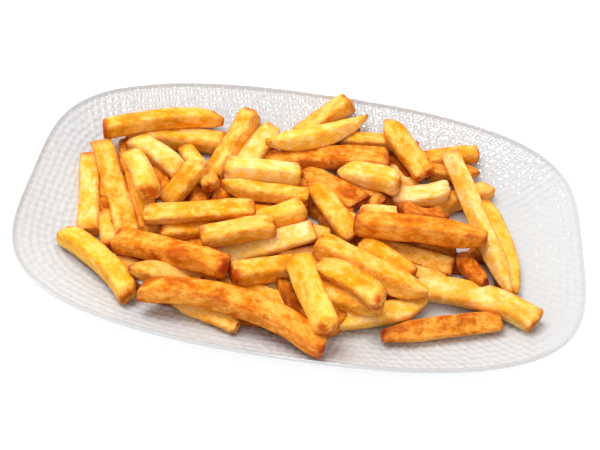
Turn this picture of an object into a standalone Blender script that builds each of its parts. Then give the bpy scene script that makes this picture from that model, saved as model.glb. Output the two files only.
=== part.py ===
"""A portion of french fries on its oblong white porcelain platter.

Two solids: the platter, and the loose heap of fries as one solid out to its uneven outline.
The heap is worked out by laying the fries one by one on the platter, so it has their true
height and outline. Lengths in the named sizes are millimetres; the model is in metres.

Frame: the platter stands on z = 0, its middle at x = y = 0, with its long side along +X.
"""

import math

import bmesh
import bpy
import numpy as np

MM = 0.001

# Platter outline: |x / half length| ^ LONG_POWER + |y / half width| ^ SHORT_POWER = 1
HALF_LENGTH = 150.0
HALF_WIDTH = 87.0
LONG_POWER = 2.3
SHORT_POWER = 4.0

# Platter section, measured inwards from the outline
RIM_HEIGHT = 22.0
LIP_WIDTH = 3.4
LIP_DROP = 1.4
FLOOR_HEIGHT = 5.5
WALL_FOOT = 42.0
WALL_POWER = 1.8
BODY_THICKNESS = 3.8
FOOT_OUTER = 45.0
FOOT_INNER = 49.0
FOOT_RECESS = 1.6
OUTER_WALL_STEPS = (40.0, 34.0, 27.0, 20.0, 13.0, 7.0)
INNER_WALL_STEPS = (5.0, 9.0, 14.0, 20.0, 27.0, 34.0, WALL_FOOT, 56.0)
AROUND_PLATTER = 84

# How a fry lies on what is under it
FRY_THICKNESS = 0.92
FRY_BEDDING = 0.4
CONTACT_WIDTH = 0.28
COVER_WIDTH = 0.43
FREE_END_RISE = 2.0

# The heap's solid
HEAP_COLUMNS = 42
HEAP_ROWS = 28
HEAP_LEAST_RADIUS = 20.0
HEAP_GAP = 0.5
HEAP_EDGE_THICKNESS = 4.0
HEAP_RIM_MARGIN = 0.8

# Each fry: x and y of one end, x and y of the other, width, sideways bow. Lowest first.
BOTTOM_FRIES = [
    (-126, 22, -114, -26, 11, 0),
    (-108, -12, -98, -33, 9, 0),
    (-115, 14, -106, -10, 7, 0),
    (-109, 37, -103, 14, 7, 0),
    (-99, 15, -85, -24, 7, 0),
    (-89, 29, -79, 6, 7, 0),
    (-89, -1, -76, -25, 7, 0),
    (-101, 30, -82, 1, 10, 1),
    (-109, 43, -52, 48, 10, 0),
    (-122, 45, -61, 64, 10, 3),
    (-98, -37, -80, -44, 8, 0),
    (-124, -32, -79, -65, 11, 4),
    (-79, -50, -42, -46, 8, 2),
    (-56, -62, -24, -72, 8, 0),
    (-34, -50, 3, -53, 9, 0),
    (-23, -41, 14, -40, 9, 0),
    (8, -62, 70, -40, 11, -3),
    (47, -65, 107, -46, 10, 1),
    (56, -33, 123, -45, 11, 6),
    (98, 31, 114, -31, 10, 3),
    (48, -16, 78, -21, 9, 0),
    (-62, 20, -59, -1, 10, 0),
    (-47, 15, -47, 4, 8, 0),
    (-42, 1, -14, 2, 9, 0),
    (-8, -6, 16, -8, 10, 0),
    (-8, 27, 4, 11, 8, 0),
    (-10, -27, 14, -17, 9, 0),
    (12, 61, 59, 64, 8, 0),
    (68, 46, 97, 49, 9, 0),
    (70, 20, 104, 41, 10, 0),
    (65, 55, 95, 61, 9, 0),
    (28, 31, 42, 18, 9, 0),
    (-27, 62, -42, 21, 10, 0),
]
MIDDLE_FRIES = [
    (4, -41, 46, -48, 11, 0),
    (-122, 35, -88, -29, 11, 1),
    (-40, 69, -53, 21, 10, 0),
    (-74, 36, -51, 8, 8, 0),
    (-105, 32, -71, 16, 10, 2),
    (-48, 12, 1, 13, 10, 0),
    (-73, -23, -28, -5, 8, 0),
    (-94, -31, -33, -45, 11, 0),
    (-44, -34, 7, -10, 10, 0),
    (-29, -43, 11, -28, 10, 0),
    (43, 47, 61, 33, 9, 0),
    (10, 17, 28, 3, 8, 0),
    (30, 5, 82, 12, 9, 0),
    (42, -13, 81, -18, 10, 0),
    (86, -9, 96, -31, 7, 0),
    (-2, 31, 31, 18, 12, 0),
    (-6, 54, 17, 83, 11, 0),
    (-60, 18, -71, 2, 9, 0),
    (-86, -11, -28, -4, 10, 0),
    (-30, -14, -1, 5, 8, 0),
]
TOP_FRIES = [
    (-50, -29, -14, -14, 11, 0),
    (-73, -64, 18, -81, 12, 11),
    (-28, 37, 43, 47, 12, 3),
    (-27, 44, 28, 73, 10, -5),
    (-45, 22, -6, 29, 11, 0),
    (48, 25, 78, 29, 11, -2),
    (16, 37, 50, 28, 11, 2),
    (38, 68, 65, 38, 12, 0),
    (3, 20, 28, -9, 9, 0),
    (33, -15, 61, -30, 9, 0),
    (10, -20, 68, -39, 12, 0),
    (13, -34, 43, -52, 11, 3),
    (76, 53, 108, -31, 8, 0),
    (49, 10, 78, 11, 8, -3),
    (28, -7, 97, -9, 12, 0),
    (0, -33, 18, -69, 10, 0),
]


def clear_scene():
    for obj in list(bpy.data.objects):
        bpy.data.objects.remove(obj)


def principled(name, colour, roughness):
    material = bpy.data.materials.new(name)
    material.use_nodes = True
    shader = material.node_tree.nodes["Principled BSDF"]
    shader.inputs["Base Color"].default_value = (*colour, 1.0)
    shader.inputs["Roughness"].default_value = roughness
    shader.inputs["Metallic"].default_value = 0.0
    return material


# ---- platter section ----


def wall_height(inwards):
    """Height of the platter's inner face at a distance inwards from its outline."""
    along = np.clip((inwards - LIP_WIDTH) / (WALL_FOOT - LIP_WIDTH), 0.0, 1.0)
    rise = RIM_HEIGHT - LIP_DROP - FLOOR_HEIGHT
    return FLOOR_HEIGHT + rise * (1.0 - along) ** WALL_POWER


def distance_inwards(x, y):
    """How far inside the platter's outline a point lies, by halving."""
    low = np.zeros(np.shape(x))
    high = np.full(np.shape(x), HALF_WIDTH - 1.0)
    for _ in range(18):
        middle = (low + high) / 2
        reach = np.abs(x / (HALF_LENGTH - middle)) ** LONG_POWER
        reach = reach + np.abs(y / (HALF_WIDTH - middle)) ** SHORT_POWER
        low = np.where(reach < 1, middle, low)
        high = np.where(reach < 1, high, middle)
    return (low + high) / 2


def dish_height(x, y):
    """Height of what a fry would rest on, with no fries there."""
    inwards = distance_inwards(x, y)
    return np.where(inwards < LIP_WIDTH, RIM_HEIGHT, wall_height(inwards))


def outline_point(angle, inwards):
    """A point on the outline moved inwards, in the direction of an angle from the middle."""
    half_length = HALF_LENGTH - inwards
    half_width = HALF_WIDTH - inwards
    direction = (math.cos(angle), math.sin(angle))
    low = 0.0
    high = half_length + half_width
    for _ in range(40):
        radius = (low + high) / 2
        reach = abs(radius * direction[0] / half_length) ** LONG_POWER
        reach += abs(radius * direction[1] / half_width) ** SHORT_POWER
        if reach < 1:
            low = radius
        else:
            high = radius
    return radius * direction[0], radius * direction[1]


def platter_section():
    """(distance inwards, height) from the foot's recess, round the lip, to the floor."""
    foot = [(FOOT_INNER + 0.6, FOOT_RECESS), (FOOT_INNER, 0.0), (FOOT_OUTER, 0.0), (FOOT_OUTER - 1.2, 1.5)]
    outside = [(step, float(wall_height(step)) - BODY_THICKNESS) for step in OUTER_WALL_STEPS]
    turn = RIM_HEIGHT - LIP_DROP - BODY_THICKNESS + 0.5
    lip = [(2.0, turn), (0.4, turn + 1.4), (0.0, RIM_HEIGHT - 2.0), (0.5, RIM_HEIGHT - 0.6)]
    lip += [(LIP_WIDTH / 2, RIM_HEIGHT), (LIP_WIDTH - 0.5, RIM_HEIGHT - 0.6)]
    inside = [(LIP_WIDTH, RIM_HEIGHT - LIP_DROP)]
    inside += [(step, float(wall_height(step))) for step in INNER_WALL_STEPS]
    return foot + outside + lip + inside


def even_angles(count):
    """Angles that share out the outline's length evenly, so that its ends aren't coarse."""
    fine = np.linspace(0.0, 2 * math.pi, 721)
    points = np.array([outline_point(angle, 0.0) for angle in fine])
    steps = np.hypot(*np.diff(points, axis=0).T)
    travelled = np.concatenate([[0.0], np.cumsum(steps)])
    return np.interp(np.arange(count) / count * travelled[-1], travelled, fine)


def platter_mesh():
    shape = bmesh.new()
    angles = even_angles(AROUND_PLATTER)
    rings = []
    for inwards, height in platter_section():
        ring = []
        for angle in angles:
            x, y = outline_point(angle, inwards)
            ring.append(shape.verts.new((x * MM, y * MM, height * MM)))
        rings.append(ring)
    skin_rings(shape, rings)
    fan(shape, rings[0], FOOT_RECESS, facing_up=False)
    fan(shape, rings[-1], FLOOR_HEIGHT, facing_up=True)
    return finished(shape, "platter")


# ---- shared mesh steps ----


def skin_rings(shape, rings):
    for below, above in zip(rings, rings[1:]):
        for index in range(len(below)):
            after = (index + 1) % len(below)
            shape.faces.new((below[index], below[after], above[after], above[index]))


def fan(shape, ring, height, facing_up):
    middle = shape.verts.new((0.0, 0.0, height * MM))
    for index, corner in enumerate(ring):
        after = ring[(index + 1) % len(ring)]
        shape.faces.new((corner, after, middle) if facing_up else (after, corner, middle))


def finished(shape, name):
    bmesh.ops.recalc_face_normals(shape, faces=shape.faces)
    bmesh.ops.triangulate(shape, faces=shape.faces)
    mesh = bpy.data.meshes.new(name)
    shape.to_mesh(mesh)
    shape.free()
    mesh.shade_smooth()
    return mesh


# ---- the fries ----


class Ground:
    """Height of everything laid so far, on a grid of whole millimetres."""

    def __init__(self):
        self.half_x = int(HALF_LENGTH) + 2
        self.half_y = int(HALF_WIDTH) + 3
        x, y = np.meshgrid(
            np.arange(-self.half_x, self.half_x + 1.0),
            np.arange(-self.half_y, self.half_y + 1.0),
            indexing="ij",
        )
        self.height = dish_height(x, y)
        self.covered = np.zeros(self.height.shape, bool)

    def cells(self, points):
        column = np.round(points[..., 0] + self.half_x).astype(int)
        row = np.round(points[..., 1] + self.half_y).astype(int)
        column = np.clip(column, 0, self.height.shape[0] - 1)
        row = np.clip(row, 0, self.height.shape[1] - 1)
        return column, row


def resting_line(along, support):
    """The straight underside of a fry that rests on the support on both sides of its middle.

    Of all the pairs of points it could rest on, the pair that holds the middle highest
    carries it. Where a single point under the middle does, the fry lies as level as the
    rest of the support lets it. A free end never rises far above the highest point under
    the fry, because its neighbours hold it down.
    """
    left, right = along < 0, along > 0
    left_at, left_on = along[left][:, None], support[left][:, None]
    right_at, right_on = along[right][None, :], support[right][None, :]
    at_middle = (left_on * right_at - right_on * left_at) / (right_at - left_at)
    carried = max(at_middle.max(), support[np.argmin(np.abs(along))])
    steepest = ((support - carried)[left] / along[left]).min()
    least = ((support - carried)[right] / along[right]).max()
    slope = min(max(0.0, least), max(steepest, least))
    most = max(0.0, (support.max() + FREE_END_RISE - carried) / along[-1])
    slope = min(max(slope, -most), most)
    return (support - slope * along).max() + slope * along


def lay_fry(ground, x0, y0, x1, y1, width, bow):
    """Lays one fry on the ground and adds its top to it."""
    length = math.hypot(x1 - x0, y1 - y0)
    forward = np.array([x1 - x0, y1 - y0]) / length
    sideways = np.array([-forward[1], forward[0]])
    share = np.linspace(0.0, 1.0, int(length / 1.2) + 2)
    middle = np.array([x0, y0]) + np.outer(share * length, forward)
    middle = middle + np.outer(bow * (1 - (2 * share - 1) ** 2), sideways)
    across = np.linspace(-width / 2, width / 2, int(width) + 2)
    cells = ground.cells(middle[:, None, :] + across[None, :, None] * sideways)

    resting = np.abs(across) <= CONTACT_WIDTH * width
    support = ground.height[cells][:, resting].max(axis=1) - FRY_BEDDING
    under = resting_line((share - 0.5) * length, support)

    thickness = FRY_THICKNESS * width
    crown = (1 - np.abs(2 * across / width).clip(0, 1) ** 3) ** (1 / 3)
    top = under[:, None] + thickness * (1 + crown) / 2
    keep = np.abs(across) <= COVER_WIDTH * width
    columns, rows = cells[0][:, keep], cells[1][:, keep]
    np.maximum.at(ground.height, (columns, rows), top[:, keep])
    ground.covered[cells] = True


def heap_radius(ground, angle):
    """How far the heap reaches in one direction from its middle: where the last fry ends."""
    limit = math.hypot(*outline_point(angle, HEAP_RIM_MARGIN))
    reach = np.arange(HEAP_LEAST_RADIUS, limit, 0.5)
    points = np.outer(reach, (math.cos(angle), math.sin(angle)))
    covered = reach[ground.covered[ground.cells(points)]]
    return min(covered.max() + 0.5, limit)


def heap_point(ground, across, along):
    """Top and underside of the heap where a square's point falls, with the square spread
    over the heap's outline: the highest fry nearby, and the dish."""
    round_x = across * math.sqrt(1 - along**2 / 2)
    round_y = along * math.sqrt(1 - across**2 / 2)
    stretch = HALF_WIDTH / HALF_LENGTH
    angle = math.atan2(round_y * stretch, round_x)
    radius = math.hypot(round_x, round_y) * heap_radius(ground, angle)
    x, y = radius * math.cos(angle), radius * math.sin(angle)
    spread = np.arange(-2.0, 3.0)
    near = np.array([(x + dx, y + dy) for dx in spread for dy in spread])
    under = float(dish_height(near[:, 0], near[:, 1]).max()) + HEAP_GAP
    heights = np.sort(ground.height[ground.cells(near)])
    top = float(heights[len(heights) // 2 :].mean())
    return x, y, max(top, under + HEAP_EDGE_THICKNESS), under


def heap_mesh(ground):
    """Two grids of points, the heap's top and its underside, closed round their edges."""
    shape = bmesh.new()
    top, under = {}, {}
    for column in range(HEAP_COLUMNS + 1):
        for row in range(HEAP_ROWS + 1):
            square = (2 * column / HEAP_COLUMNS - 1, 2 * row / HEAP_ROWS - 1)
            x, y, high, low = heap_point(ground, *square)
            top[column, row] = shape.verts.new((x * MM, y * MM, high * MM))
            under[column, row] = shape.verts.new((x * MM, y * MM, low * MM))
    for column in range(HEAP_COLUMNS):
        for row in range(HEAP_ROWS):
            corners = [(column, row), (column + 1, row), (column + 1, row + 1), (column, row + 1)]
            shape.faces.new([top[corner] for corner in corners])
            shape.faces.new([under[corner] for corner in reversed(corners)])
    edge = [(column, 0) for column in range(HEAP_COLUMNS)]
    edge += [(HEAP_COLUMNS, row) for row in range(HEAP_ROWS)]
    edge += [(column, HEAP_ROWS) for column in range(HEAP_COLUMNS, 0, -1)]
    edge += [(0, row) for row in range(HEAP_ROWS, 0, -1)]
    for here, after in zip(edge, edge[1:] + edge[:1]):
        shape.faces.new((under[here], under[after], top[after], top[here]))
    return finished(shape, "fries_heap")


def add_object(mesh, material):
    obj = bpy.data.objects.new(mesh.name, mesh)
    mesh.materials.append(material)
    bpy.context.scene.collection.objects.link(obj)
    return obj


def main():
    clear_scene()
    add_object(platter_mesh(), principled("glazed_porcelain", (0.88, 0.88, 0.87), 0.12))
    ground = Ground()
    for fry in BOTTOM_FRIES + MIDDLE_FRIES + TOP_FRIES:
        lay_fry(ground, *fry)
    add_object(heap_mesh(ground), principled("fried_potato", (0.76, 0.37, 0.06), 0.55))


main()
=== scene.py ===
"""A portion of french fries on an oblong porcelain platter: its surfaces, light and view.

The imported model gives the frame. The platter and the heap of fries are made again here at
the same size and place, with the dimples of the platter and every fry as real shapes.
Lengths in the named sizes are millimetres; the objects are in metres.
"""

import math
from functools import partial

import bpy
import numpy as np
from bpy.props import FloatProperty, FloatVectorProperty, IntProperty, PointerProperty
from mathutils import Matrix, Vector, noise


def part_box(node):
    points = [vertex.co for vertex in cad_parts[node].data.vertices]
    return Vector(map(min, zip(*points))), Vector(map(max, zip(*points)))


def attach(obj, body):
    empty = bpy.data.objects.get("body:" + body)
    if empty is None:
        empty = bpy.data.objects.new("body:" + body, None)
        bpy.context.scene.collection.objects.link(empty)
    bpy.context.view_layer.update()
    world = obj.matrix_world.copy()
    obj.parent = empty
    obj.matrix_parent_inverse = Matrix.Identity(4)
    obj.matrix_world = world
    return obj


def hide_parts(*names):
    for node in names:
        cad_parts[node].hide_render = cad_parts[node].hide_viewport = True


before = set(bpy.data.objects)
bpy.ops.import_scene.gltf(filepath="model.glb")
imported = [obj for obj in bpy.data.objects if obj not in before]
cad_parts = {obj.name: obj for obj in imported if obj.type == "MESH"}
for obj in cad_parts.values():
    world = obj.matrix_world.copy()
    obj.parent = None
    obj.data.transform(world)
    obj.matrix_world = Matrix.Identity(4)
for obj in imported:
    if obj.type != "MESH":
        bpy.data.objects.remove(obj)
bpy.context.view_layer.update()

bl_info = {
    "name": "French Fries Portion",
    "version": (1, 0, 0),
    "blender": (4, 5, 0),
    "location": "3D Viewport > Sidebar > Fries",
    "description": "Makes a heap of fries on a dimpled porcelain platter, and its stage",
    "category": "Object",
}

MM = 0.001
PLATTER_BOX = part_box("platter")
HALF_LENGTH = PLATTER_BOX[1].x / MM
HALF_WIDTH = PLATTER_BOX[1].y / MM
RIM_HEIGHT = PLATTER_BOX[1].z / MM

# Platter outline: |x / half length| ^ LONG_POWER + |y / half width| ^ SHORT_POWER = 1
LONG_POWER = 2.3
SHORT_POWER = 4.0

# Platter section, measured inwards from the outline
LIP_WIDTH = 1.7
LIP_DROP = 1.2
FLOOR_HEIGHT = 5.5
WALL_FOOT = 42.0
WALL_POWER = 1.8
BODY_THICKNESS = 3.8
FOOT_OUTER = 45.0
FOOT_INNER = 49.0
FOOT_RECESS = 1.6
FLOOR_EDGE = 56.0

# How a fry lies on what is under it
FRY_THICKNESS = 0.80
FRY_BEDDING = 0.7
CONTACT_WIDTH = 0.23
COVER_WIDTH = 0.36
FREE_END_RISE = 2.0

# Where fries are buried: the share of the ground that must be covered around them, how far
# up the heap they reach, and how far they stay below the fries in sight
BURIED_COVER = 0.61
BURIED_SHARE = 0.55
BURIED_BELOW = 2.0
LEAST_BURIED = 6.0

# Where they are tried, in rows over the platter's middle, and their lengths and widths
BURIED_HALF_X = 130.0
BURIED_HALF_Y = 72.0
BURIED_ROW = 8.0
BURIED_APART = 11.0
BURIED_LENGTHS = (34.0, 27.0, 20.0)
BURIED_WIDTHS = (8.5, 10.5)

# The mound under everything: where it starts, how far up the heap and how high it reaches,
# how far it stays below the fries in sight, and the size of its faces
CORE_COVER = 0.55
CORE_SHARE = 0.5
CORE_BELOW = 3.0
CORE_MOST = 11.0
CORE_STEP = 3

# Its edge: how fast it thickens with the cover, the thickness from which it is made, and the
# least that its lumps leave; the lumps' height and length; and how far it goes into the floor
CORE_RAMP = 0.14
CORE_LEAST = 0.5
CORE_THINNEST = 0.2
CORE_LUMP = 1.2
CORE_LUMP_LENGTH = 4.0
CORE_SUNK = 0.6

# Shape of a fry's end: how much narrower its tip is, over what share of the half length,
# towards which side the tip lies, and how slanted it is cut
END_SHAPES = {
    "blunt": (0.05, 0.20, 0.0, 0.0),
    "round": (0.28, 0.22, 0.0, 0.0),
    "taper": (0.48, 0.60, 0.0, 0.1),
    "point": (0.80, 0.55, 0.0, 0.0),
    "long": (0.93, 0.90, 0.35, 0.0),
    "slant": (0.30, 0.30, -0.5, -0.6),
    "left": (0.74, 0.50, 0.7, 0.0),
    "right": (0.74, 0.50, -0.7, 0.0),
    "cut_left": (0.10, 0.25, 0.0, 0.5),
    "cut_right": (0.10, 0.25, 0.0, -0.5),
}

# Each fry: kind, x and y of its start and of its finish, width, sideways bow, and the
# shapes of its start and its finish. Lowest first.
FRIES = [
    ("pale", -125, 22, -112.5, -27, 11.5, 0, "blunt", "blunt"),
    ("pale", -108, -12, -98, -33, 10, 0, "blunt", "round"),
    ("golden", -115, 14, -106, -10, 9, 0, "round", "blunt"),
    ("brown", -109, 37, -103, 14, 9, 0, "round", "round"),
    ("golden", -99, 15, -85, -24, 9, 1, "round", "blunt"),
    ("brown", -89, 29, -79, 6, 9, 0, "round", "round"),
    ("golden", -89, -1, -76, -25, 9, 0, "round", "round"),
    ("pale", -99, 20, -81, -11, 12, 1, "round", "round"),
    ("golden", -109, 43, -52, 47, 12.5, 0, "round", "blunt"),
    ("golden", -119.5, 34, -58.5, 60, 11.5, 4, "blunt", "slant"),
    ("golden", -94, -39, -79, -45, 9, 0, "round", "round"),
    ("yellow", -124, -32, -79, -65, 12, 4, "round", "round"),
    ("golden", -82, -53, -38, -50, 10.5, 2, "point", "round"),
    ("golden", -58, -61, -23, -72, 10, 1, "taper", "round"),
    ("golden", -39, -50, 3, -56, 11, 1, "taper", "round"),
    ("pale", -25, -44, 14, -44, 11, 0, "round", "round"),
    ("pale", 5, -62, 71, -40, 12, -3, "round", "left"),
    ("brown", 47, -65, 107, -46, 11, 1, "taper", "round"),
    ("pale", 61, -33, 124, -46, 12, 6, "round", "cut_left"),
    ("yellow", 98, 31, 114, -28, 11, 4, "round", "taper"),
    ("pale", 49, -20, 79, -24, 10, 0, "round", "taper"),
    ("brown", -62, 20, -58, -2, 11, 0, "round", "round"),
    ("brown", -47, 15, -47, 3, 10, 0, "round", "round"),
    ("golden", -42, 1, -13, 2, 10, 0, "round", "round"),
    ("golden", -8, -6, 16, -9, 11, 0, "round", "round"),
    ("brown", -8, 27, 4, 11, 10, 0, "round", "round"),
    ("pale", -11, -27, 14, -18, 10, 0, "round", "round"),
    ("golden", 12, 61, 60, 63, 10, 0, "round", "point"),
    ("brown", 65, 47, 97, 50, 10, 0, "round", "point"),
    ("golden", 68, 20, 102, 41, 11, 0, "round", "cut_right"),
    ("golden", 64, 55, 95, 61, 10, 0, "blunt", "blunt"),
    ("brown", 29, 31, 42, 18, 10, 0, "round", "round"),
    ("pale", -26, 62, -43, 21, 12.5, 0, "round", "blunt"),
    ("brown", -66, -31, -42, -24, 9.5, 0, "taper", "round"),
    ("golden", 2, -45, 46, -53, 12, 0, "round", "taper"),
    ("golden", -119.5, 27.5, -89.5, -28, 11.5, 1, "blunt", "blunt"),
    ("golden", -40, 69, -55, 21, 12, 0, "round", "blunt"),
    ("golden", -74, 36, -51, 8, 10, 0, "round", "round"),
    ("pale", -105, 34, -71, 16.5, 11.5, 2, "right", "blunt"),
    ("golden", -48, 12, 1, 12, 11, 0, "left", "blunt"),
    ("golden", -74, -24, -28, -6, 10, 0, "round", "taper"),
    ("brown", -95, -33, -33, -46, 12.5, 1, "blunt", "blunt"),
    ("cream", -46, -33, 7, -10, 12, 0, "round", "blunt"),
    ("golden", -31, -48, 11, -26, 11.5, 0, "blunt", "round"),
    ("pale", 43, 47, 61, 33, 10, 0, "round", "round"),
    ("pale", 10, 17, 28, 3, 10, 0, "round", "round"),
    ("pale", 30, 6, 80, 13, 11, 0, "round", "blunt"),
    ("golden", 36, -10, 83, -16, 11, 0, "round", "blunt"),
    ("dark", 86, -6, 97, -30, 9.5, -1, "point", "taper"),
    ("brown", -4, 34, 31, 17, 13.5, 0, "taper", "cut_left"),
    ("golden", -12, 56, 16, 82, 12, 0, "round", "blunt"),
    ("golden", -59, 19, -76, -2, 11, 0, "left", "round"),
    ("golden", -83.5, -18, -26.5, -2, 11.5, 0, "blunt", "round"),
    ("yellow", -36, -17, -1, 5, 11, 0, "round", "blunt"),
    ("golden", -51, -29, -14, -14, 12, 0, "blunt", "blunt"),
    ("brown", -73, -64, 19.5, -81.2, 13, 10, "round", "round"),
    ("brown", -28, 37, 43, 46, 13, 3, "point", "blunt"),
    ("pale", -28, 44, 29, 74, 11.5, -5, "point", "long"),
    ("cream", -47.5, 22, -6, 27, 12, 0, "blunt", "blunt"),
    ("cream", 47, 25, 78, 29, 12, -2, "blunt", "round"),
    ("pale", 15, 35, 50, 25, 12.5, 3, "point", "round"),
    ("golden", 38, 69, 65, 38, 13, 0, "point", "blunt"),
    ("golden", 2, 22, 28, -11, 11.5, 0, "taper", "round"),
    ("golden", 32, -13, 61, -29, 11, 0, "round", "blunt"),
    ("golden", 9, -17, 67, -42, 13, 0, "blunt", "left"),
    ("golden", 11, -35, 44, -56, 12, 3, "taper", "round"),
    ("pale", 77, 55, 111, -32, 9.5, 0, "blunt", "point"),
    ("dark", 49, 11, 78, 10, 11, -3, "point", "point"),
    ("brown", 27, -6, 97, -6, 13, 1, "round", "taper"),
    ("yellow", 0, -33, 20, -75, 11.8, 0, "blunt", "round"),
]

# Face, mottling and crust of each kind of fry, from barely fried to dark, and how much of
# it is covered by brown patches
FRY_COLOURS = {
    "cream": ("#FFDFA0", "#F9C350", "#CA6C04", 0.25),
    "pale": ("#FFD78A", "#F6B636", "#C05A00", 0.35),
    "yellow": ("#FFC85E", "#F3AA14", "#BC5600", 0.3),
    "golden": ("#FFC666", "#F0A00E", "#B24400", 0.5),
    "brown": ("#F9AE46", "#E07C02", "#9E3000", 0.85),
    "dark": ("#E68A2C", "#BE5600", "#782000", 0.8),
    # The under kind, for the buried fries and the mound, is darker than frying alone would make it:
    # painted shade, since these show only deep in the gaps between the others.
    "under": ("#DC8822", "#B25402", "#742600", 0.7),
}


# ---- what a user can change ----


LengthProperty = partial(FloatProperty, unit="LENGTH")
AngleProperty = partial(FloatProperty, subtype="ANGLE")
ColourProperty = partial(FloatVectorProperty, subtype="COLOR_GAMMA")


class PlatterSettings(bpy.types.PropertyGroup):
    dimple_spacing: LengthProperty(
        name="Dimple spacing",
        description="Distance between the middles of two dimples pressed side by side",
        default=4.2 * MM,
    )
    dimple_depth: LengthProperty(
        name="Dimple depth",
        description="Depth of a dimple on the wall, below the ridges between dimples",
        default=0.72 * MM,
    )
    dimple_scatter: LengthProperty(
        name="Dimple scatter",
        description="How far a dimple may lie from its even place in its row",
        default=0.6 * MM,
    )
    glaze: ColourProperty(
        name="Glaze", description="Colour of the glazed porcelain", default=(0.78, 0.785, 0.788)
    )
    bare_clay: ColourProperty(
        name="Bare clay",
        description="Colour of the unglazed ring that the platter stands on",
        default=(0.87, 0.85, 0.81),
    )
    seed: IntProperty(name="Seed", description="Which scatter of dimples is used", default=4)


class FrySettings(bpy.types.PropertyGroup):
    edge_radius: FloatProperty(
        name="Edge rounding",
        description="Radius of a fry's long edges, as a share of its half width",
        default=0.54,
        subtype="FACTOR",
    )
    lump_height: LengthProperty(
        name="Lump height",
        description="Height of the broad lumps and hollows on a fry",
        default=2.3 * MM,
    )
    lump_length: LengthProperty(
        name="Lump length", description="Usual length of a broad lump", default=13.0 * MM
    )
    blister_height: LengthProperty(
        name="Blister height",
        description="Height of the small blisters in the crust",
        default=0.34 * MM,
    )
    blister_size: LengthProperty(
        name="Blister size", description="Usual width of a blister", default=2.6 * MM
    )
    sway: LengthProperty(
        name="Sway", description="How far a fry's middle line wanders from straight", default=1.5 * MM
    )
    seed: IntProperty(name="Seed", description="Which set of uneven fries is used", default=11)


class StageSettings(bpy.types.PropertyGroup):
    focal_length: FloatProperty(
        name="Focal length",
        description="Focal length of the camera, in millimetres on a 36 mm sensor",
        default=45.0,
    )
    distance: LengthProperty(
        name="Distance",
        description="Distance from the camera to the point it looks at",
        default=398.5 * MM,
    )
    height_angle: AngleProperty(
        name="Height angle",
        description="Angle of the camera above the horizontal",
        default=math.radians(55.55),
    )
    turn: AngleProperty(
        name="Turn",
        description="Turn of the camera round the platter from straight in front",
        default=math.radians(2.56),
    )
    roll: AngleProperty(
        name="Roll",
        description="Turn of the camera about its own line of sight",
        default=math.radians(6.0),
    )
    target: FloatVectorProperty(
        name="Target",
        description="Point the camera looks at, before the turn",
        default=(-1.71 * MM, -9.2 * MM, 20.0 * MM),
        subtype="TRANSLATION",
    )
    floor_colour: ColourProperty(
        name="Floor", description="Colour of the floor under the platter", default=(0.98, 0.98, 0.98)
    )


# ---- shared steps ----


COMBINE = "ShaderNodeCombineXYZ"
MATH = "ShaderNodeMath"
VECTOR = "ShaderNodeVectorMath"
NOISE = "ShaderNodeTexNoise"
RANGE = "ShaderNodeMapRange"


def connect(node, values, sockets):
    """Gives values to a node's sockets in their order, and to others by name.

    A value is a number, a socket to link, or a node, whose first output is linked.
    """
    shown = [socket for socket in node.inputs if socket.enabled]
    pairs = list(zip(shown, values))
    for name, value in sockets.items():
        pairs.append((next(socket for socket in shown if socket.name == name), value))
    for socket, value in pairs:
        if isinstance(value, bpy.types.Node):
            value = next(output for output in value.outputs if output.enabled)
        if isinstance(value, bpy.types.NodeSocket):
            node.id_data.links.new(value, socket)
        else:
            socket.default_value = value


def add(tree, kind, *values, sockets=None, **settings):
    """Adds a node with its settings and the values of its sockets, and returns it."""
    made = tree.nodes.new(kind)
    for name, value in settings.items():
        setattr(made, name, value)
    connect(made, values, sockets or {})
    return made


def linear(colour):
    """An sRGB hex colour, or three sRGB numbers, as the linear RGBA that shaders take."""
    if isinstance(colour, str):
        colour = [int(colour[place : place + 2], 16) / 255 for place in (1, 3, 5)]
    steps = [c / 12.92 if c <= 0.04045 else ((c + 0.055) / 1.055) ** 2.4 for c in colour]
    return (*steps, 1.0)


def new_material(name):
    """A material, its shader, and the function that adds a node to it."""
    material = bpy.data.materials.new(name)
    material.use_nodes = True
    tree = material.node_tree
    return material, tree.nodes["Principled BSDF"], partial(add, tree)


def new_tree(name, inputs):
    """A geometry tree, its inputs, and the function that adds a node to it."""
    tree = bpy.data.node_groups.new(name, "GeometryNodeTree")
    sockets = {"Geometry": "Geometry", **inputs}
    for label, kind in sockets.items():
        tree.interface.new_socket(label, in_out="INPUT", socket_type="NodeSocket" + kind)
    tree.interface.new_socket("Geometry", in_out="OUTPUT", socket_type="NodeSocketGeometry")
    node = partial(add, tree)
    return tree, node("NodeGroupInput").outputs, node


def end_tree(node, geometry, material):
    """Ends a tree: its geometry smooth, real and with its material goes to the output."""
    shaded = node("GeometryNodeSetShadeSmooth", geometry)
    real = node("GeometryNodeRealizeInstances", shaded)
    dressed = node("GeometryNodeSetMaterial", real, sockets={"Material": material})
    node("NodeGroupOutput", dressed)


def run_tree(obj, tree, values):
    """Runs a geometry tree on an object and keeps the result as the object's plain mesh."""
    modifier = obj.modifiers.new(tree.name, "NODES")
    modifier.node_group = tree
    for item in tree.interface.items_tree:
        if item.in_out == "INPUT" and item.name in values:
            modifier[item.identifier] = values[item.name]
    graph = bpy.context.evaluated_depsgraph_get()
    result = bpy.data.meshes.new_from_object(obj.evaluated_get(graph), depsgraph=graph)
    obj.modifiers.remove(modifier)
    if not result.polygons:
        raise RuntimeError(f"the tree {tree.name} made no faces for {obj.name}")
    result.name = obj.name
    obj.data = result
    return obj


def mesh_object(name, points, faces=(), edges=()):
    mesh = bpy.data.meshes.new(name)
    mesh.from_pydata(points, edges, faces)
    mesh.update()
    obj = bpy.data.objects.new(name, mesh)
    bpy.context.scene.collection.objects.link(obj)
    return obj


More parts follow.
